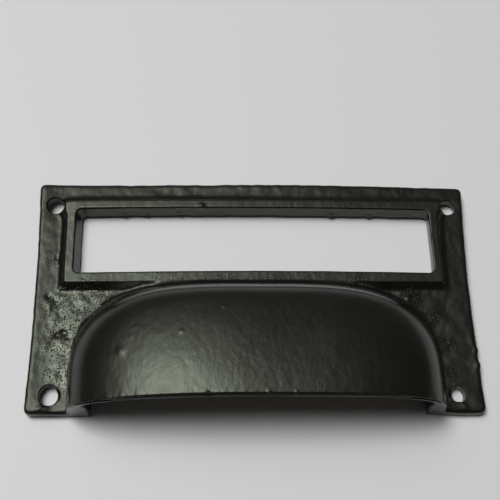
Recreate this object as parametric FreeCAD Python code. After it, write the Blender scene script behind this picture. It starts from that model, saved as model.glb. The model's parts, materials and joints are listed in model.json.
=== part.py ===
import FreeCAD, Part
import math
import os

# Label frame pull: one iron casting. The back lies on z = 0, +Z leaves the drawer front,
# +X runs along the pull and +Y runs from the mouth of the cup to the label frame.

# Back plate (mm)
plate_thickness = 3.0
plate_corner_radius = 1.7
plate_edge_round = 0.8
side_margin = 5.6
top_margin = 4.0
draft_degrees = 1.0

# Label window and its raised frame (mm)
window_width = 89.6
window_height = 17.3
window_corner_radius = 0.6
window_draft = 0.45
frame_height = 1.6
frame_flat = 1.7
frame_lower_flat = 2.2
frame_slope_run = 1.9
frame_arris_chamfer = 0.2

# Hood: the finger cup (mm)
hood_width = 88.6
hood_depth = 31.2
hood_projection = 21.6
hood_frame_gap = 1.2
foot_wall = 3.9
back_wall = 2.9
lip_wall = 2.0
lip_bevel_back = 0.65
lip_bevel_down = 0.45
hood_side_draft = 6.5
root_radius = 2.0
root_sink = 0.25

# Screw holes (mm)
hole_diameter = 4.5
hole_side_edge = 4.65
hole_top_edge = 6.0
hole_bottom_edge = 4.35

# How full the hood's curves are: exponents of its superellipses
arch_power = 3.1
hollow_arch_power = 3.8
crown_rise_power = 2.0
hollow_crown_rise_power = 2.6
crown_back_power = 2.6
outline_power_at_root = 4.2
outline_power_at_crown = 2.8

# Section counts of the hood's lofts, which run straight from one section to the next
outline_steps = 12
dome_steps = 16
root_levels = 3

# Places that follow from the sizes
hood_top_offset = hood_depth + hood_frame_gap
hood_side_slope = math.tan(math.radians(hood_side_draft))
frame_lower_height = frame_lower_flat + window_height + frame_flat
plate_height = hood_top_offset + frame_lower_height + frame_slope_run + top_margin
plate_width = window_width + 2 * (frame_flat + frame_slope_run + side_margin)
mouth_y = -plate_height / 2
rim_top_z = plate_thickness + frame_height
window_low_y = mouth_y + hood_top_offset + frame_lower_flat
window_high_y = window_low_y + window_height

# How far a cutting solid runs past the casting, and how near two heights count as level (mm)
cut_over = 2.0
level_within = 1e-4


def frustum(half_width, low_y, high_y, low_z, high_z, lean_x, lean_y):
    """Block whose upright sides lean in evenly between two heights."""
    top_half = half_width - lean_x
    wedge = Part.makeWedge(
        -half_width, low_z, -high_y, lean_y - high_y, -top_half,
        half_width, high_z, -low_y, -lean_y - low_y, top_half,
    )
    wedge.rotate(FreeCAD.Vector(0, 0, 0), FreeCAD.Vector(1, 0, 0), 90)
    return wedge


def round_frustum(half_width, low_y, high_y, low_z, high_z, lean, radius):
    """Frustum with conical corners, of the given radius at its lower end."""
    blocks = [
        frustum(half_width - radius, low_y, high_y, low_z, high_z, 0, lean),
        frustum(half_width, low_y + radius, high_y - radius, low_z, high_z, lean, 0),
    ]
    for x in (radius - half_width, half_width - radius):
        for y in (low_y + radius, high_y - radius):
            foot = FreeCAD.Vector(x, y, low_z)
            blocks.append(Part.makeCone(radius, radius - lean, high_z - low_z, foot))
    return blocks[0].multiFuse(blocks[1:]).removeSplitter()


def level_edges(shape, z):
    """Edges of a shape that lie level at height z."""
    boxes = [(edge, edge.BoundBox) for edge in shape.Edges]
    return [edge for edge, box in boxes if max(abs(box.ZMin - z), abs(box.ZMax - z)) < level_within]


def drafted_envelope():
    """Outline of the whole casting, leaning in by the mould's draft from the back to the lip."""
    lean = hood_projection * math.tan(math.radians(draft_degrees))
    return round_frustum(plate_width / 2, mouth_y, -mouth_y, 0, hood_projection, lean, plate_corner_radius)


def back_plate(envelope):
    """Flat plate with soft front edges."""
    corner = FreeCAD.Vector(-plate_width, -plate_height, 0)
    slab = Part.makeBox(2 * plate_width, 2 * plate_height, plate_thickness, corner)
    plate = envelope.common(slab)
    return plate.makeFillet(plate_edge_round, level_edges(plate, plate_thickness))


def window_core():
    """The core that leaves the label window, wider at the front by its draft."""
    slope = window_draft / rim_top_z
    low_z = -cut_over
    high_z = rim_top_z + cut_over
    inset = slope * (rim_top_z - low_z)
    lean = -slope * (high_z - low_z)
    half = window_width / 2 - inset
    low_y = window_low_y + inset
    high_y = window_high_y - inset
    return round_frustum(half, low_y, high_y, low_z, high_z, lean, window_corner_radius)


def label_frame(core):
    """Raised rim round the window: sloped outside, flat on top, with softened arrises."""
    slope = frame_slope_run / frame_height
    low_z = plate_thickness / 2
    run = slope * (rim_top_z - low_z)
    half = window_width / 2 + frame_flat + run
    low_y = window_low_y - frame_lower_flat - run
    high_y = window_high_y + frame_flat + run
    rim = frustum(half, low_y, high_y, low_z, rim_top_z, run, run).cut(core)
    return rim.makeChamfer(frame_arris_chamfer, level_edges(rim, rim_top_z))


def superellipse(turn, power):
    """Point of the unit superellipse in the direction of an angle."""
    c = math.cos(turn)
    s = math.sin(turn)
    reach = (abs(c) ** power + abs(s) ** power) ** (-1 / power)
    return reach * c, reach * s


def outline(half_width, depth, power, z):
    """Level D-shaped section: half a superellipse behind the mouth, closed straight in front of it."""
    shares = [i / outline_steps for i in range(outline_steps + 1)]
    points = []
    for share in shares:
        x, y = superellipse(math.pi * share, power)
        points.append(FreeCAD.Vector(half_width * x, mouth_y + depth * y, z))
    curve = Part.BSplineCurve()
    curve.interpolate(Points=points, Parameters=shares)
    forward = FreeCAD.Vector(0, -cut_over, 0)
    ends = [points[-1], points[-1] + forward, points[0] + forward, points[0]]
    straights = [Part.LineSegment(a, b).toShape() for a, b in zip(ends, ends[1:])]
    return Part.Wire([curve.toShape()] + straights)


def dome_section(turn, power, crown_power):
    """Height, width and depth of the dome's section, as shares of the whole, up the arch's curve."""
    width, rise = superellipse(turn, power)
    depth = (1 - rise ** crown_power) ** (1 / crown_back_power)
    outline_power = outline_power_at_root + (outline_power_at_crown - outline_power_at_root) * rise
    return rise, width, depth, outline_power


def dome_turns():
    """Even turns up the arch from the root to just short of the crown."""
    return [math.pi / 2 * i / dome_steps for i in range(dome_steps)]


def hood_outside():
    """Outer dome with its root flared into the plate like a cast fillet."""
    height = hood_projection - plate_thickness
    wires = []
    steepest = math.acos((root_radius - root_sink) / root_radius)
    run_out = root_radius * (1 - math.sin(steepest))
    flares = [(-root_sink, run_out + root_sink / math.tan(steepest))]
    for i in range(root_levels):
        angle = steepest + (math.pi / 2 - steepest) * i / root_levels
        flares.append((root_radius * (1 - math.cos(angle)) - root_sink, root_radius * (1 - math.sin(angle))))
    for lift, flare in flares:
        half_width = hood_width / 2 - lift * hood_side_slope + flare
        wires.append(outline(half_width, hood_depth + flare, outline_power_at_root, plate_thickness + lift))
    for turn in dome_turns():
        rise, width, depth, power = dome_section(turn, arch_power, crown_rise_power)
        if rise * height > root_radius:
            half_width = width * (hood_width / 2 - rise * height * hood_side_slope)
            wires.append(outline(half_width, depth * hood_depth, power, plate_thickness + rise * height))
    return Part.makeLoft(wires, True, True)


def hood_hollow():
    """The hollow under the dome, open at the back and at the mouth."""
    height = hood_projection - lip_wall
    half_width = hood_width / 2 - foot_wall
    back = hood_depth - back_wall
    wires = [outline(half_width, back, outline_power_at_root, -cut_over)]
    for turn in dome_turns():
        rise, width, depth, power = dome_section(turn, hollow_arch_power, hollow_crown_rise_power)
        leaning = half_width - rise * height * hood_side_slope
        wires.append(outline(width * leaning, depth * back, power, rise * height))
    return Part.makeLoft(wires, True, True)


def hood(envelope, hollow):
    """The cup's shell, cut off at the mouth, with the lip's outer edge bevelled."""
    feet = Part.Face(outline(hood_width / 2, hood_depth, outline_power_at_root, 0))
    feet = feet.extrude(FreeCAD.Vector(0, 0, plate_thickness))
    shell = hood_outside().fuse(feet).common(envelope).cut(hollow).removeSplitter()
    mouth = min(shell.Faces, key=lambda face: face.CenterOfMass.y)
    above_hollow = hood_projection - lip_wall / 2
    lip = [e for e in mouth.Edges if e.BoundBox.ZMax > above_hollow]
    return shell.makeChamfer(lip_bevel_down, lip_bevel_back, lip)


def screw_holes():
    """Four through holes on a rectangle near the plate's corners."""
    x = plate_width / 2 - hole_side_edge
    depth = rim_top_z + 2 * cut_over
    holes = []
    for y in (mouth_y + hole_bottom_edge, -mouth_y - hole_top_edge):
        for side in (-1, 1):
            start = FreeCAD.Vector(side * x, y, -cut_over)
            holes.append(Part.makeCylinder(hole_diameter / 2, depth, start))
    return Part.makeCompound(holes)


def pull_casting():
    envelope = drafted_envelope()
    core = window_core()
    hollow = hood_hollow()
    plate = back_plate(envelope).cut(core).cut(hollow)
    body = plate.fuse(label_frame(core))
    body = body.fuse(hood(envelope, hollow))
    return body.cut(screw_holes()).removeSplitter()


os.makedirs("parts", exist_ok=True)
casting = pull_casting()
casting.exportStep("parts/pull_casting.step")
print("plate %.1f x %.1f mm, volume %.0f mm3" % (plate_width, plate_height, casting.Volume))
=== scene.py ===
import json
import math

import bmesh
import bpy
import numpy as np
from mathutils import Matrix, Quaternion, Vector
from mathutils.bvhtree import BVHTree


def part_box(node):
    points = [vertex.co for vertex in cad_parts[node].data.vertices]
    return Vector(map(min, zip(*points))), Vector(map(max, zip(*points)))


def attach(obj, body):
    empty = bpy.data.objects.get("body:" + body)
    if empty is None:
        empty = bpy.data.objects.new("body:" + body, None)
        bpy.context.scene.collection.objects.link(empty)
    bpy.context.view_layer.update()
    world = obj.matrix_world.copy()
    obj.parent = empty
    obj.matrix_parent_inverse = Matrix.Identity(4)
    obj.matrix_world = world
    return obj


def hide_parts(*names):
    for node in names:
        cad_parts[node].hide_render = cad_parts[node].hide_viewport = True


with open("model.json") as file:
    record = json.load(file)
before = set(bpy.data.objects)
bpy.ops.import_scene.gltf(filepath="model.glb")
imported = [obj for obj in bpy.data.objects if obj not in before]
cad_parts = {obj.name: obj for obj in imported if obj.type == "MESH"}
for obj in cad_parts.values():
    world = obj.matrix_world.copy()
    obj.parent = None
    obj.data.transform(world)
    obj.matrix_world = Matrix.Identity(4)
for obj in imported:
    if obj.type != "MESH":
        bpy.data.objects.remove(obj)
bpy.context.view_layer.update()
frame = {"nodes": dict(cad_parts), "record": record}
mm = 0.001
castingLow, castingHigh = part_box("pull_casting")
mouthY = castingLow.y / mm
topY = castingHigh.y / mm
screwHoles = frame["record"]["mounts"][0]
print("frame loaded, casting", [round(v / mm, 2) for v in castingHigh - castingLow], "mm")


def smoothStep(values, low, high):
    t = np.clip((values - low) / (high - low), 0, 1)
    return t * t * (3 - 2 * t)


def fadeOut(values, low, high):
    return 1 - smoothStep(values, low, high)


def between(values, rising, falling):
    return smoothStep(values, *rising) * fadeOut(values, *falling)


# The casting's skin: sizes in mm, places in the casting's own frame
casting = {
    "voxel": 0.45, "mergeWithin": 0.001,
    "seed": 7,
    "fairing": 45,               # passes that blend the hood's strips into one sweep
    "hoodFrom": (3.2, 4.8),      # heights between which the fairing comes in
    "hoodTo": 2.2,               # how far up the plate the hood counts
    "lipKeep": (0.8, 2.6),       # distance behind the mouth where the fairing comes in
    "waveHeight": 0.20, "waveSize": 13.0,
    "lumpHeight": 0.40, "lumpSize": 3.0,
    "peelHeight": 0.11, "peelSize": 1.6,
    "peelStretch": (1.0, 0.65, 1.0),
    "peelFacing": (0.80, 0.96),  # steep walls stay smooth
    "grainHeight": 0.18, "grainSize": 0.9,
    "pitDepth": 0.28, "pitSpacing": 2.0,
    "pitEdge": (0.05, 0.26),     # share of the spacing in which a pit's wall rises
    "sandCore": 0.35,            # share of a patch's radius that is rough all over
    "sandTop": (4.7, 6.2),       # heights between which the sand's marks end
    "flawFalloff": 1.6,
    "backFacing": -0.7,          # what faces down more than this is ground flat
}


def castBlank():
    cad = frame["nodes"]["pull_casting"]
    work = bmesh.new()
    work.from_mesh(cad.data)
    bmesh.ops.remove_doubles(work, verts=work.verts, dist=casting["mergeWithin"] * mm)
    mesh = bpy.data.meshes.new("castingBlank")
    work.to_mesh(mesh)
    work.free()
    mesh.materials.clear()
    blank = bpy.data.objects.new("castingBlank", mesh)
    bpy.context.scene.collection.objects.link(blank)
    remesh = blank.modifiers.new("evenSkin", "REMESH")
    remesh.mode = "VOXEL"
    remesh.voxel_size = casting["voxel"] * mm
    return asPlainMesh(blank, "castingSkin")


def asPlainMesh(source, name):
    graph = bpy.context.evaluated_depsgraph_get()
    mesh = bpy.data.meshes.new_from_object(source.evaluated_get(graph))
    bpy.data.objects.remove(source)
    mesh.name = name
    piece = bpy.data.objects.new(name, mesh)
    bpy.context.scene.collection.objects.link(piece)
    return piece


def trueSurface():
    work = bmesh.new()
    work.from_mesh(frame["nodes"]["pull_casting"].data)
    surface = BVHTree.FromBMesh(work)
    work.free()
    return surface


def cutFiner(work, faces, cuts):
    edges = {side.index: side for face in faces for side in face.edges}
    sides = [edges[index] for index in sorted(edges)]
    bmesh.ops.subdivide_edges(work, edges=sides, cuts=cuts, use_grid_fill=True)


# Mouth of the hood, by height up the arch: a bevel along its outer edge, and a thinner wall inside it
lip = {
    "at": (3.5, 6.0, 12.0, 18.0, 21.0),
    "back": (0.01, 0.30, 0.50, 0.65, 0.65),    # how far the bevel runs back
    "inward": (0.01, 0.30, 0.50, 0.80, 0.80),  # and in
    "lean": 0.0175,          # of the mouth, to its height
    "zone": (0.95, 1.3),     # how far back and in the skin is cut finer
    "cuts": 2,
    "rays": 720, "rayBehind": 1.0, "rayMiddle": 5.0, "rayLength": 80.0,  # rays that find the edge
    "thinAt": (3.5, 6.0, 9.0, 13.0, 17.0, 20.0, 21.5),
    "thinBy": (0.0, 0.0, 0.4, 1.9, 1.8, 1.0, 0.85),
    "thinFrom": (0.9, 2.0), "thinTo": (6.0, 14.0),  # distance in from the edge
    "thinBehind": (5.0, 16.0),
}


def archEdge(surface):
    middle = Vector((0, mouthY + lip["rayBehind"], lip["rayMiddle"]))
    edge = []
    for i in range(lip["rays"] + 1):
        turn = math.pi * i / lip["rays"]
        way = Vector((math.cos(turn), 0, math.sin(turn)))
        hit = surface.ray_cast((middle + way * lip["rayLength"]) * mm, -way)[0] / mm
        edge.append((hit.x, hit.z))
    return np.array(edge)


def fromEdge(place, edge):
    x, y, z = place / mm
    apart = np.hypot(edge[:, 0] - x, edge[:, 1] - z)
    nearest = int(apart.argmin())
    return y - mouthY - lip["lean"] * z, apart[nearest], edge[nearest]


def nearMouth(place, reach):
    return place.y / mm < mouthY + reach and place.z / mm > lip["at"][0]


def bevelled(place, edge):
    behind, inward, (edgeX, edgeZ) = fromEdge(place, edge)
    back = float(np.interp(edgeZ, lip["at"], lip["back"]))
    down = float(np.interp(edgeZ, lip["at"], lip["inward"]))
    short = 1 - behind / back - inward / down
    if short <= 0:
        return place
    step = short / (1 / back ** 2 + 1 / down ** 2)
    inner = Vector((-edgeX, 0, lip["rayMiddle"] - edgeZ)).normalized()
    return place + (Vector((0, step / back, 0)) + inner * (step / down)) * mm


def thinned(place, edge):
    behind, inward, (edgeX, edgeZ) = fromEdge(place, edge)
    share = between(inward, lip["thinFrom"], lip["thinTo"]) * fadeOut(behind, *lip["thinBehind"])
    thin = float(np.interp(edgeZ, lip["thinAt"], lip["thinBy"]) * share)
    if thin <= 0:
        return place
    outward = Vector((edgeX - place.x / mm, 0, edgeZ - place.z / mm)).normalized()
    return place + outward * (thin * mm)


def sharpenLip(mesh, surface):
    edge = archEdge(surface)
    deepest, widest = lip["zone"]
    reach = 2 * deepest

    def inZone(middle):
        if not nearMouth(middle, reach):
            return False
        behind, inward, _ = fromEdge(middle, edge)
        return behind < deepest and inward < widest

    work = bmesh.new()
    work.from_mesh(mesh)
    finer = [face for face in work.faces if inZone(face.calc_center_median())]
    cutFiner(work, finer, lip["cuts"])
    for corner in work.verts:
        if nearMouth(corner.co, reach):
            corner.co = bevelled(surface.find_nearest(corner.co)[0], edge)
    for corner in work.verts:
        if nearMouth(corner.co, lip["thinBehind"][1]):
            corner.co = thinned(corner.co, edge)
    work.to_mesh(mesh)
    work.free()
    print("lip sharpened,", len(finer), "faces cut finer")


# Screw holes: how far each is off its place, and its size along x and y against the solid's
drilled = {
    "drift": {
        "left upper": (-0.55, -0.06), "right upper": (0.65, 0.0),
        "left lower": (0.63, 0.16), "right lower": (-1.5, 0.32),
    },
    "grow": {
        "left upper": (0.97, 0.98), "right upper": (0.88, 0.88),
        "left lower": (0.86, 1.06), "right lower": (0.65, 0.86),
    },
    "reach": (2.5, 4.4),     # how far round it the skin follows, wholly and at all
    "plateTop": 3.0,
    "crispIn": 0.30, "crispOut": 0.55, "crispDeep": 0.7, "cuts": 2,  # the ring that is cut finer
    "onEdge": 0.11,          # how near the hole's edge the skin is drawn onto it
}


def holePlaces():
    halfX = screwHoles["dims"]["spacing_x_mm"] / 2
    halfY = screwHoles["dims"]["spacing_y_mm"] / 2
    midY = screwHoles["pos_m"][1] / mm
    for corner in drilled["drift"]:
        sideWord, levelWord = corner.split()
        holeX = halfX if sideWord == "right" else -halfX
        holeY = midY + (halfY if levelWord == "upper" else -halfY)
        yield corner, holeX, holeY


def sharpenHoles(mesh, surface):
    radius = screwHoles["dims"]["hole_r_mm"]
    places = list(holePlaces())
    top = drilled["plateTop"]

    def fromHole(place):
        x, y, z = place / mm
        _, holeX, holeY = min(places, key=lambda hole: math.hypot(x - hole[1], y - hole[2]))
        return math.hypot(x - holeX, y - holeY), z, holeX, holeY

    def inRing(place):
        away, z, _, _ = fromHole(place)
        level = top - drilled["crispDeep"] < z < top + drilled["crispOut"]
        return level and radius - drilled["crispIn"] < away < radius + drilled["crispOut"]

    work = bmesh.new()
    work.from_mesh(mesh)
    ring = [face for face in work.faces if inRing(face.calc_center_median())]
    cutFiner(work, ring, drilled["cuts"])
    for corner in work.verts:
        if inRing(corner.co):
            corner.co = surface.find_nearest(corner.co)[0]
            away, z, holeX, holeY = fromHole(corner.co)
            if abs(away - radius) < drilled["onEdge"] and abs(z - top) < drilled["onEdge"]:
                stretch = radius / away
                corner.co.x = (holeX + (corner.co.x / mm - holeX) * stretch) * mm
                corner.co.y = (holeY + (corner.co.y / mm - holeY) * stretch) * mm
                corner.co.z = top * mm
    work.to_mesh(mesh)
    work.free()
    print("holes sharpened,", len(ring), "faces cut finer")


def pointsOf(mesh):
    flat = np.zeros(len(mesh.vertices) * 3, np.float32)
    mesh.vertices.foreach_get("co", flat)
    return flat.reshape(-1, 3).astype(float) / mm


def storeFloats(mesh, name, values):
    layer = mesh.attributes.new(name, "FLOAT", "POINT")
    layer.data.foreach_set("value", values.astype(np.float32))


# Rough patches left by the sand: centre x, y, radius, strength
sandPatches = [
    (-46.0, -4.0, 8.0, 1.0),
    (-46.5, -12.0, 7.0, 1.0),
    (-46.0, -20.0, 5.5, 0.9),
    (-49.5, 9.0, 5.0, 0.35),
    (-40.0, -1.5, 7.0, 1.0),
    (-33.0, -1.0, 3.0, 0.5),
    (-22.0, 3.5, 8.0, 0.4),
    (-10.0, 4.0, 8.0, 0.5),
    (3.0, 4.0, 8.0, 0.45),
    (14.0, 3.5, 7.0, 0.4),
    (24.0, 2.2, 5.0, 0.4),
    (38.5, -1.0, 4.0, 0.8),
    (42.5, -6.5, 4.0, 0.8),
    (45.0, -13.0, 4.0, 0.8),
    (46.0, -20.0, 3.5, 0.6),
    (46.3, -27.0, 3.0, 0.6),
]

# Single flaws of the casting: x, y, z, radius, height (a pit where it is below nought)
flaws = [
    (-31.4, -18.9, 18.2, 1.1, 0.24),
    (-29.2, -15.7, 18.2, 0.5, 0.12),
    (-28.2, -13.5, 17.8, 0.45, 0.12),
    (-46.7, -9.8, 3.0, 0.8, -0.45),
    (-47.9, -10.6, 3.0, 0.55, -0.35),
    (-45.7, -10.9, 3.0, 0.5, -0.3),
    (-49.0, 9.4, 3.0, 0.6, -0.35),
    (-48.2, 8.0, 3.0, 0.45, 0.3),
    (-50.6, -0.8, 3.0, 0.8, -0.35),
    (-11.9, -29.0, 21.3, 0.55, -0.35),
    (-50.7, -28.4, 3.0, 0.9, 0.35),
    (-49.4, -28.6, 3.0, 0.6, 0.25),
    (-33.0, 21.9, 1.2, 0.5, 0.5),
    (-27.4, 21.9, 1.2, 0.45, 0.4),
    (-19.1, 21.9, 1.6, 0.5, 0.4),
    (-13.4, 22.5, 4.5, 0.8, 0.4),
    (20.1, 21.9, 1.2, 0.8, 0.5),
    (30.0, 21.9, 0.8, 0.6, 0.55),
    (1.0, -28.6, 21.6, 0.4, 0.14),
    (7.1, -28.6, 21.5, 0.4, 0.14),
    (28.0, -27.4, 19.7, 0.5, 0.16),
    (38.3, -0.9, 3.0, 0.6, 0.35),
    (50.0, -28.5, 3.0, 0.45, 0.3),
    (53.6, -14.5, 2.6, 0.8, 0.3),
    (53.6, -18.0, 2.6, 0.8, 0.3),
    (-18.0, -15.1, 19.7, 0.5, 0.12),
    (-8.4, -9.0, 18.0, 0.6, 0.12),
]


def markZones(mesh):
    pts = pointsOf(mesh)
    x, y, z = pts.T
    hood = smoothStep(z, *casting["hoodFrom"]) * (y < casting["hoodTo"])
    storeFloats(mesh, "fairing", hood * smoothStep(y - mouthY, *casting["lipKeep"]))
    sand = np.zeros(len(pts))
    for px, py, radius, strength in sandPatches:
        away = np.hypot(x - px, y - py)
        sand = np.maximum(sand, strength * fadeOut(away, radius * casting["sandCore"], radius))
    storeFloats(mesh, "sand", sand * fadeOut(z, *casting["sandTop"]))
    storeFloats(mesh, "plate", fadeOut(z, *casting["hoodFrom"]))
    lift = np.zeros(len(pts))
    for fx, fy, fz, radius, height in flaws:
        away = np.sqrt((x - fx) ** 2 + (y - fy) ** 2 + (z - fz) ** 2)
        lift += height * np.exp(-((away / radius) ** 2) * casting["flawFalloff"])
    storeFloats(mesh, "flawLift", lift)


def moveHoles(pts, x, y):
    for corner, holeX, holeY in holePlaces():
        driftX, driftY = drilled["drift"][corner]
        growX, growY = drilled["grow"][corner]
        pull = fadeOut(np.hypot(x - holeX, y - holeY), *drilled["reach"])
        pts[:, 0] += (driftX + (growX - 1) * (x - holeX)) * pull
        pts[:, 1] += (driftY + (growY - 1) * (y - holeY)) * pull


# Rim of the label frame: pressed flat on top, with crisp arrises
rim = {"top": 4.6, "over": 0.02, "press": 0.26, "from": (3.4, 4.2), "halfWidth": 48.6, "lowY": 0.8}


def pressRim(pts, x, y, z):
    onRim = (z < rim["top"] + rim["over"]) & (np.abs(x) < rim["halfWidth"]) & (y > rim["lowY"])
    pressed = np.minimum(rim["top"], z + rim["press"] * smoothStep(z, *rim["from"]))
    pts[:, 2] = np.where(onRim, pressed, z)


# Hood out of true: the mouth leans forward, the root's flare is tight, the left wall stands out, the
# crown is raised and the back is fuller, by so much at each distance in from the root
hoodWarp = {
    "hoodTo": (-4.0, 0.5),       # y between which the hood's own bends end
    "lean": 0.85, "leanFrom": (3.0, 20.0), "leanBehind": (2.0, 16.0),
    "halfWidth": 44.3, "depth": 31.2, "rootPower": 4.2, "leastGirth": 1e-6,
    "tighten": {"left": 0.6, "right": 0.8},
    "flareIn": (0.975, 1.02), "flareOut": (1.05, 1.12), "flareLow": (2.0, 2.8), "flareX": (26.0, 40.0),
    "fullAt": (0.0, 2.3, 3.0, 4.0, 5.0, 7.0, 10.0, 12.0, 16.0, 20.0),
    "fullBy": (0.0, 0.0, 1.4, 2.0, 2.1, 1.9, 1.1, 0.7, 0.2, 0.0),
    "fullFrom": (4.5, 9.0),
    "standOut": 0.7, "wallFrom": (3.0, 5.2), "wallTo": (12.0, 19.0), "wallX": (34.0, 41.5),
    "footThick": 0.8, "footX": (36.0, 40.0), "footOut": (41.0, 42.5), "footTop": (6.0, 14.0),
    "crown": 0.5, "crownX": -6.0, "crownWide": 14.0, "crownFrom": (8.0, 15.0),
}


def bendHood(pts, x, y, z):
    inHood = fadeOut(y, *hoodWarp["hoodTo"])
    behind = y - mouthY
    lean = smoothStep(z, *hoodWarp["leanFrom"]) * fadeOut(behind, *hoodWarp["leanBehind"])
    pts[:, 1] -= hoodWarp["lean"] * lean

    power = hoodWarp["rootPower"]  # level sections of the hood are superellipses, 1 at the root
    backPart = (np.maximum(behind, 0) / hoodWarp["depth"]) ** power
    girth = (np.abs(x) / hoodWarp["halfWidth"]) ** power + backPart
    outward = girth ** (1 / power)
    flare = between(outward, hoodWarp["flareIn"], hoodWarp["flareOut"])
    flare = flare * smoothStep(np.abs(x), *hoodWarp["flareX"]) * smoothStep(z, *hoodWarp["flareLow"])
    tighten = np.where(x > 0, hoodWarp["tighten"]["right"], hoodWarp["tighten"]["left"]) * flare
    pts[:, 0] -= tighten * x / hoodWarp["halfWidth"]
    pts[:, 1] -= tighten * behind / hoodWarp["halfWidth"]

    fuller = np.interp((1 - outward) * hoodWarp["depth"], hoodWarp["fullAt"], hoodWarp["fullBy"])
    fuller = fuller * backPart / np.maximum(girth, hoodWarp["leastGirth"])
    fuller = fuller * smoothStep(z, *hoodWarp["fullFrom"])
    pts[:, 2] += fuller * (outward < 1)
    crown = np.exp(-(((x - hoodWarp["crownX"]) / hoodWarp["crownWide"]) ** 2)) * inHood
    pts[:, 2] += hoodWarp["crown"] * crown * smoothStep(z, *hoodWarp["crownFrom"])

    wall = between(z, hoodWarp["wallFrom"], hoodWarp["wallTo"])
    wall = wall * smoothStep(-x, *hoodWarp["wallX"]) * inHood
    pts[:, 0] -= hoodWarp["standOut"] * wall
    foot = between(-x, hoodWarp["footX"], hoodWarp["footOut"])
    foot = foot * fadeOut(z, *hoodWarp["footTop"]) * inHood
    pts[:, 0] += hoodWarp["footThick"] * foot


# Plate out of true: it bows upwards, its sides are waisted, and the window's core leans to one side
warp = {
    "bow": 0.62, "bowMiddle": 2.0, "bowHalf": 50.0, "bowLeast": -0.1, "bowFrom": (-6.0, 4.0),
    "waist": {"left": 0.13, "right": 0.16},
    "flareUp": {"left": 0.53, "right": 1.10},
    "flareDown": {"left": 0.80, "right": 0.70},
    "sideFrom": (44.0, 52.0),
    "cornerDrop": 0.45, "cornerFrom": (38.0, 50.0), "cornerBelow": (8.0, 24.0),
    "edgeCurl": 0.60, "curlFrom": (46.5, 57.0),
    "cornerLift": 0.45, "liftX": (40.0, 56.0), "liftY": (21.0, 31.0),
    "topDip": 0.28, "dipFrom": (-54.0, -28.0),
    "topRise": 0.45, "riseFrom": (-16.0, 8.0),
    "topFall": 0.35, "fallFrom": (12.0, 54.0),
    "topFrom": (24.5, 26.5),
    "backKept": (1.0, 2.0),      # heights under which the back stays flat
    "coreLean": 0.88, "coreReach": (0.6, 2.3), "coreTop": 4.6,
    "windowX": 44.6, "windowY": (4.85, 22.15),
}


def leanCore(pts, x, y, z):
    lowY, highY = warp["windowY"]
    outside = np.maximum(np.maximum(lowY - y, y - highY), np.abs(np.abs(x) - warp["windowX"]))
    share = np.clip(1 - z / warp["coreTop"], 0, 1)
    pts[:, 0] += warp["coreLean"] * share * fadeOut(outside, *warp["coreReach"])


def bendPlate(pts, x, y, z):
    atSide = smoothStep(np.abs(x), *warp["sideFrom"])
    along = (y / topY) ** 2
    for sideWord, side in (("left", -1), ("right", 1)):
        flare = np.where(y > 0, warp["flareUp"][sideWord], warp["flareDown"][sideWord])
        pts[:, 0] += side * (flare * along - warp["waist"][sideWord]) * atSide * (x * side > 0)
    arc = 1 - ((x - warp["bowMiddle"]) / warp["bowHalf"]) ** 2
    pts[:, 1] += warp["bow"] * np.clip(arc, warp["bowLeast"], 1) * smoothStep(y, *warp["bowFrom"])
    dropped = smoothStep(x, *warp["cornerFrom"]) * smoothStep(-y, *warp["cornerBelow"])
    pts[:, 1] -= warp["cornerDrop"] * dropped

    front = smoothStep(z, *warp["backKept"])
    pts[:, 2] += warp["edgeCurl"] * smoothStep(-x, *warp["curlFrom"]) * front
    lifted = smoothStep(-x, *warp["liftX"]) * smoothStep(y, *warp["liftY"])
    pts[:, 2] += warp["cornerLift"] * lifted * front
    dip = warp["topDip"] * smoothStep(x, *warp["dipFrom"])
    fall = warp["topFall"] * smoothStep(x, *warp["fallFrom"])
    roll = warp["topRise"] * smoothStep(x, *warp["riseFrom"]) - (dip + fall)
    pts[:, 2] += roll * smoothStep(y, *warp["topFrom"]) * front


def bendBlank(mesh):
    pts = pointsOf(mesh)
    x, y, z = pts.T.copy()
    moveHoles(pts, x, y)
    pressRim(pts, x, y, z)
    leanCore(pts, x, y, z)
    bendHood(pts, x, y, z)
    bendPlate(pts, x, y, z)
    mesh.vertices.foreach_set("co", (pts * mm).astype(np.float32).ravel())


class NodeDesk:
    def __init__(self, tree):
        self.tree = tree

    def add(self, kind, **values):
        node = self.tree.nodes.new(kind)
        for key, value in values.items():
            setattr(node, key, value)
        return node

    def link(self, a, b):
        self.tree.links.new(a, b)

    def calc(self, operation, a, b):
        node = self.add("ShaderNodeMath", operation=operation)
        for socket, value in zip(node.inputs, (a, b)):
            if isinstance(value, (int, float)):
                socket.default_value = value
            else:
                self.link(value, socket)
        return node.outputs[0]

    def times(self, first, *others):
        for other in others:
            first = self.calc("MULTIPLY", first, other)
        return first

    def plus(self, first, *others):
        for other in others:
            first = self.calc("ADD", first, other)
        return first

    def ramp(self, value, span, to=(0.0, 1.0), kind="SMOOTHSTEP"):
        node = self.add("ShaderNodeMapRange", interpolation_type=kind)
        self.link(value, node.inputs["Value"])
        for name, number in zip(("From Min", "From Max", "To Min", "To Max"), (*span, *to)):
            node.inputs[name].default_value = number
        return node.outputs[0]


# Inputs of the skin's tree, and the casting's values that they take
skinInputs = {
    "Wave Height": "waveHeight", "Wave Size": "waveSize",
    "Lump Height": "lumpHeight", "Lump Size": "lumpSize",
    "Peel Height": "peelHeight", "Peel Size": "peelSize",
    "Grain Height": "grainHeight", "Grain Size": "grainSize",
    "Pit Depth": "pitDepth", "Pit Spacing": "pitSpacing",
    "Fairing": "fairing", "Seed": "seed",
}

# Noise of the skin: detail, and step from the seed
skinNoise = {"Wave": (1.0, 0.3), "Lump": (2.0, 8.4), "Peel": (2.0, 3.1), "Grain": (2.0, 5.7)}
noiseMiddle = 0.5


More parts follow.
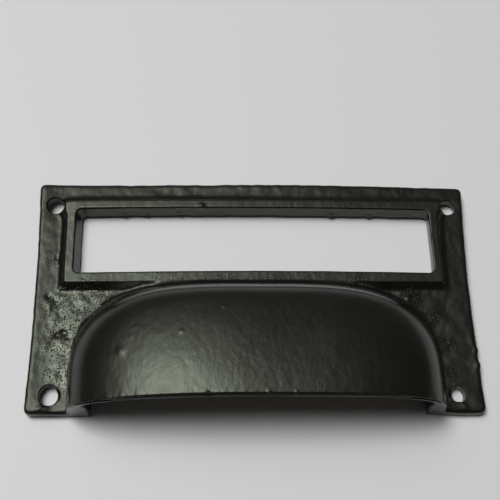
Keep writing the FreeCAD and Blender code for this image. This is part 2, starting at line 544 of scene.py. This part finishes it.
def skinTree(paint):
    tree = bpy.data.node_groups.new("sandCastSkin", "GeometryNodeTree")
    face = tree.interface
    face.new_socket("Geometry", in_out="INPUT", socket_type="NodeSocketGeometry")
    for name, key in skinInputs.items():
        kind = "NodeSocketInt" if isinstance(casting[key], int) else "NodeSocketFloat"
        face.new_socket(name, in_out="INPUT", socket_type=kind)
    face.new_socket("Geometry", in_out="OUTPUT", socket_type="NodeSocketGeometry")
    desk = NodeDesk(tree)
    given = desk.add("NodeGroupInput").outputs
    position = desk.add("GeometryNodeInputPosition").outputs[0]

    def named(attribute):
        node = desk.add("GeometryNodeInputNamedAttribute", data_type="FLOAT")
        node.inputs["Name"].default_value = attribute
        return node.outputs["Attribute"]

    def blurred(geometry, passes, weight):
        blur = desk.add("GeometryNodeBlurAttribute", data_type="FLOAT_VECTOR")
        vectorIn = [s for s in blur.inputs if s.type == "VECTOR" and s.enabled][0]
        vectorOut = [s for s in blur.outputs if s.type == "VECTOR" and s.enabled][0]
        desk.link(position, vectorIn)
        desk.link(passes, blur.inputs["Iterations"])
        desk.link(weight, blur.inputs["Weight"])
        place = desk.add("GeometryNodeSetPosition")
        desk.link(geometry, place.inputs["Geometry"])
        desk.link(vectorOut, place.inputs["Position"])
        return place.outputs["Geometry"]

    def relief(kind, stretch=(1, 1, 1)):
        detail, seedStep = skinNoise[kind]
        drawn = desk.add("ShaderNodeVectorMath", operation="MULTIPLY")
        desk.link(position, drawn.inputs[0])
        drawn.inputs[1].default_value = stretch
        noise = desk.add("ShaderNodeTexNoise", noise_dimensions="4D")
        desk.link(drawn.outputs[0], noise.inputs["Vector"])
        desk.link(desk.plus(given["Seed"], seedStep), noise.inputs["W"])
        desk.link(desk.calc("DIVIDE", 1 / mm, given[kind + " Size"]), noise.inputs["Scale"])
        noise.inputs["Detail"].default_value = detail
        return desk.times(desk.calc("SUBTRACT", noise.outputs[0], noiseMiddle), given[kind + " Height"])

    cells = desk.add("ShaderNodeTexVoronoi", voronoi_dimensions="4D")
    desk.link(position, cells.inputs["Vector"])
    desk.link(given["Seed"], cells.inputs["W"])
    desk.link(desk.calc("DIVIDE", 1 / mm, given["Pit Spacing"]), cells.inputs["Scale"])
    hole = desk.ramp(cells.outputs["Distance"], casting["pitEdge"], (-1.0, 0.0))
    pits = desk.times(hole, given["Pit Depth"])
    rough = desk.times(desk.plus(relief("Grain"), pits), named("sand"))
    lump = desk.times(relief("Lump"), named("plate"))
    peel = desk.times(relief("Peel", casting["peelStretch"]), named("peel"))
    lift = desk.plus(desk.plus(relief("Wave"), lump, peel), desk.plus(rough, named("flawLift")))
    normal = desk.add("GeometryNodeInputNormal").outputs[0]
    split = desk.add("ShaderNodeSeparateXYZ")
    desk.link(normal, split.inputs[0])
    onFront = desk.calc("GREATER_THAN", split.outputs["Z"], casting["backFacing"])
    offset = desk.add("ShaderNodeVectorMath", operation="SCALE")
    desk.link(normal, offset.inputs[0])
    desk.link(desk.times(lift, onFront, mm), offset.inputs["Scale"])

    shape = blurred(given["Geometry"], given["Fairing"], named("fairing"))
    keep = desk.add("GeometryNodeStoreNamedAttribute", data_type="FLOAT", domain="POINT")
    keep.inputs["Name"].default_value = "peel"
    desk.link(shape, keep.inputs["Geometry"])
    desk.link(desk.ramp(split.outputs["Z"], casting["peelFacing"]), keep.inputs["Value"])
    raised = desk.add("GeometryNodeSetPosition")
    desk.link(keep.outputs[0], raised.inputs["Geometry"])
    desk.link(offset.outputs[0], raised.inputs["Offset"])
    smooth = desk.add("GeometryNodeSetShadeSmooth")
    desk.link(raised.outputs[0], smooth.inputs["Geometry"])
    whole = desk.add("GeometryNodeRealizeInstances")
    desk.link(smooth.outputs[0], whole.inputs[0])
    dress = desk.add("GeometryNodeSetMaterial")
    dress.inputs["Material"].default_value = paint
    desk.link(whole.outputs[0], dress.inputs["Geometry"])
    desk.link(dress.outputs[0], desk.add("NodeGroupOutput").inputs[0])
    return tree


def applySkin(piece, paint):
    skin = piece.modifiers.new("sandCastSkin", "NODES")
    tree = skinTree(paint)
    skin.node_group = tree
    for item in tree.interface.items_tree:
        if item.in_out == "INPUT" and item.name in skinInputs:
            skin[item.identifier] = casting[skinInputs[item.name]]
    return asPlainMesh(piece, "castingSkin")


# Black paint: sizes in mm
paintLook = {
    "color": (0.005, 0.0051, 0.0048, 1),
    "ior": 1.535,
    "gleam": (0.93, 1.0, 0.81, 1),       # tint of the paint's reflections
    "roughness": (0.35, 0.41),
    "patchSize": 9.0, "patchDetail": 3.0, "patchSpan": (0.3, 0.7),
    "plateRoughness": 0.02,              # how much rougher the plate is
    "sandRoughness": -0.13,              # the paint lies glossier in the sand's marks
    "steepSheen": 0.12,                  # how much less rough the steep walls are
    "shine": 0.5, "plateShine": -0.10,   # of the hood, and what the plate has less
    "fineSize": 1.2, "fineDetail": 2.0, "fineHeight": 0.06,
    "fineStretch": (1.0, 0.65, 1.0),
    "sandSize": 0.50, "sandDetail": 2.0, "sandHeight": 0.10,
    "sandPits": (0.31, 0.44),
}


def blackPaint():
    paint = bpy.data.materials.new("blackPaint")
    paint.use_nodes = True
    desk = NodeDesk(paint.node_tree)
    shader = paint.node_tree.nodes["Principled BSDF"]
    shader.inputs["Base Color"].default_value = paintLook["color"]
    shader.inputs["IOR"].default_value = paintLook["ior"]
    shader.inputs["Specular Tint"].default_value = paintLook["gleam"]
    where = desk.add("ShaderNodeTexCoord").outputs["Object"]

    def zone(attribute):
        return desk.add("ShaderNodeAttribute", attribute_name=attribute).outputs["Fac"]

    def noise(kind, stretch=(1, 1, 1)):
        drawn = desk.add("ShaderNodeMapping")
        drawn.inputs["Scale"].default_value = stretch
        desk.link(where, drawn.inputs["Vector"])
        node = desk.add("ShaderNodeTexNoise")
        desk.link(drawn.outputs[0], node.inputs["Vector"])
        node.inputs["Scale"].default_value = 1 / (paintLook[kind + "Size"] * mm)
        node.inputs["Detail"].default_value = paintLook[kind + "Detail"]
        return node.outputs[0]

    sand, peel, plate = zone("sand"), zone("peel"), zone("plate")
    patches = desk.ramp(noise("patch"), paintLook["patchSpan"], paintLook["roughness"], "LINEAR")
    bySand = desk.times(sand, paintLook["sandRoughness"])
    byPlate = desk.times(plate, paintLook["plateRoughness"])
    bySlope = desk.times(desk.calc("SUBTRACT", peel, 1.0), paintLook["steepSheen"])
    desk.link(desk.plus(patches, desk.plus(bySand, byPlate, bySlope)), shader.inputs["Roughness"])
    shine = desk.plus(desk.times(plate, paintLook["plateShine"]), paintLook["shine"])
    desk.link(shine, shader.inputs["Specular IOR Level"])
    fine = desk.times(noise("fine", paintLook["fineStretch"]), paintLook["fineHeight"], peel)
    grit = desk.times(desk.ramp(noise("sand"), paintLook["sandPits"]), paintLook["sandHeight"], sand)
    bump = desk.add("ShaderNodeBump")
    bump.inputs["Distance"].default_value = mm
    desk.link(desk.plus(fine, grit), bump.inputs["Height"])
    desk.link(bump.outputs[0], shader.inputs["Normal"])
    return paint


# Table: the pale floor under the pull, in metres, which drops away a little towards the upper end
table = {"tilt": 0.016, "size": 3.0, "color": (0.735, 0.735, 0.745, 1), "roughness": 0.6}


def layTable():
    mesh = bpy.data.meshes.new("table")
    half = table["size"] / 2
    corners = [(-half, -half, 0), (half, -half, 0), (half, half, 0), (-half, half, 0)]
    mesh.from_pydata(corners, [], [(0, 1, 2, 3)])
    floor = bpy.data.objects.new("table", mesh)
    floor.location.y = castingLow.y
    floor.rotation_euler.x = -table["tilt"]
    bpy.context.scene.collection.objects.link(floor)
    finish = bpy.data.materials.new("tableTop")
    finish.use_nodes = True
    shader = finish.node_tree.nodes["Principled BSDF"]
    shader.inputs["Base Color"].default_value = table["color"]
    shader.inputs["Roughness"].default_value = table["roughness"]
    mesh.materials.append(finish)


# Light: a soft lamp high on the left, a broader one behind it, and a dim room, in metres
light = {
    "lamps": {
        "softLamp": {"place": (-0.54, 0.25, 1.75), "size": 0.78, "watts": 24.0},
        "broadLamp": {"place": (-0.65, 0.72, 1.575), "size": 1.0, "watts": 5.4},
    },
    "color": (0.985, 1.0, 0.98),
    "roomDim": (0.046, 0.042, 0.039),
    "roomBright": 0.07,
    "roomTowards": (-0.1, 1.0, 0.15),    # the room is brightest this way
    "roomFalloff": 3.0,
}


def setLight():
    for name, given in light["lamps"].items():
        lamp = bpy.data.lights.new(name, "AREA")
        lamp.shape = "SQUARE"
        lamp.size = given["size"]
        lamp.energy = given["watts"]
        lamp.color = light["color"]
        holder = bpy.data.objects.new(name, lamp)
        holder.location = given["place"]
        holder.rotation_euler = (-Vector(given["place"])).to_track_quat("-Z", "Y").to_euler()
        bpy.context.scene.collection.objects.link(holder)
    world = bpy.data.worlds.new("room")
    world.use_nodes = True
    desk = NodeDesk(world.node_tree)
    way = desk.add("ShaderNodeVectorMath", operation="DOT_PRODUCT")
    desk.link(desk.add("ShaderNodeTexCoord").outputs["Generated"], way.inputs[0])
    way.inputs[1].default_value = Vector(light["roomTowards"]).normalized()
    facing = desk.calc("MAXIMUM", way.outputs["Value"], 0.0)
    glow = desk.times(desk.calc("POWER", facing, light["roomFalloff"]), light["roomBright"])
    shade = desk.add("ShaderNodeVectorMath", operation="ADD")
    shade.inputs[0].default_value = light["roomDim"]
    desk.link(glow, shade.inputs[1])
    desk.link(shade.outputs[0], world.node_tree.nodes["Background"].inputs["Color"])
    bpy.context.scene.world = world


# Camera: worked out from the photograph's perspective, places in mm
view = {
    "eye": (-15.11, -79.47, 217.67),
    "lookAt": (-0.99, 12.93, 0.0),
    "roll": 8.15,                        # degrees
    "focalPixels": 930,
    "imagePixels": 500,
    "sensor": 36, "clipStart": 10,
}


def setCamera():
    lens = bpy.data.cameras.new("photoCamera")
    lens.sensor_width = view["sensor"]
    lens.lens = view["sensor"] * view["focalPixels"] / view["imagePixels"]
    lens.clip_start = view["clipStart"] * mm
    camera = bpy.data.objects.new("photoCamera", lens)
    eye = Vector(view["eye"]) * mm
    aim = (Vector(view["lookAt"]) * mm - eye).to_track_quat("-Z", "Y")
    turned = aim @ Quaternion((0, 0, 1), math.radians(view["roll"]))
    camera.location = eye
    camera.rotation_euler = turned.to_euler()
    bpy.context.scene.collection.objects.link(camera)
    bpy.context.scene.camera = camera


setCamera()
print("camera set")
skin = castBlank()
surface = trueSurface()
sharpenLip(skin.data, surface)
sharpenHoles(skin.data, surface)
markZones(skin.data)
bendBlank(skin.data)
print("blank meshed,", len(skin.data.polygons), "faces")
skin = applySkin(skin, blackPaint())
print("skin cast,", len(skin.data.polygons), "faces")
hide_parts("pull_casting")
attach(skin, "root")
layTable()
setLight()
bpy.context.scene.view_settings.view_transform = "Standard"
print("table and light set")
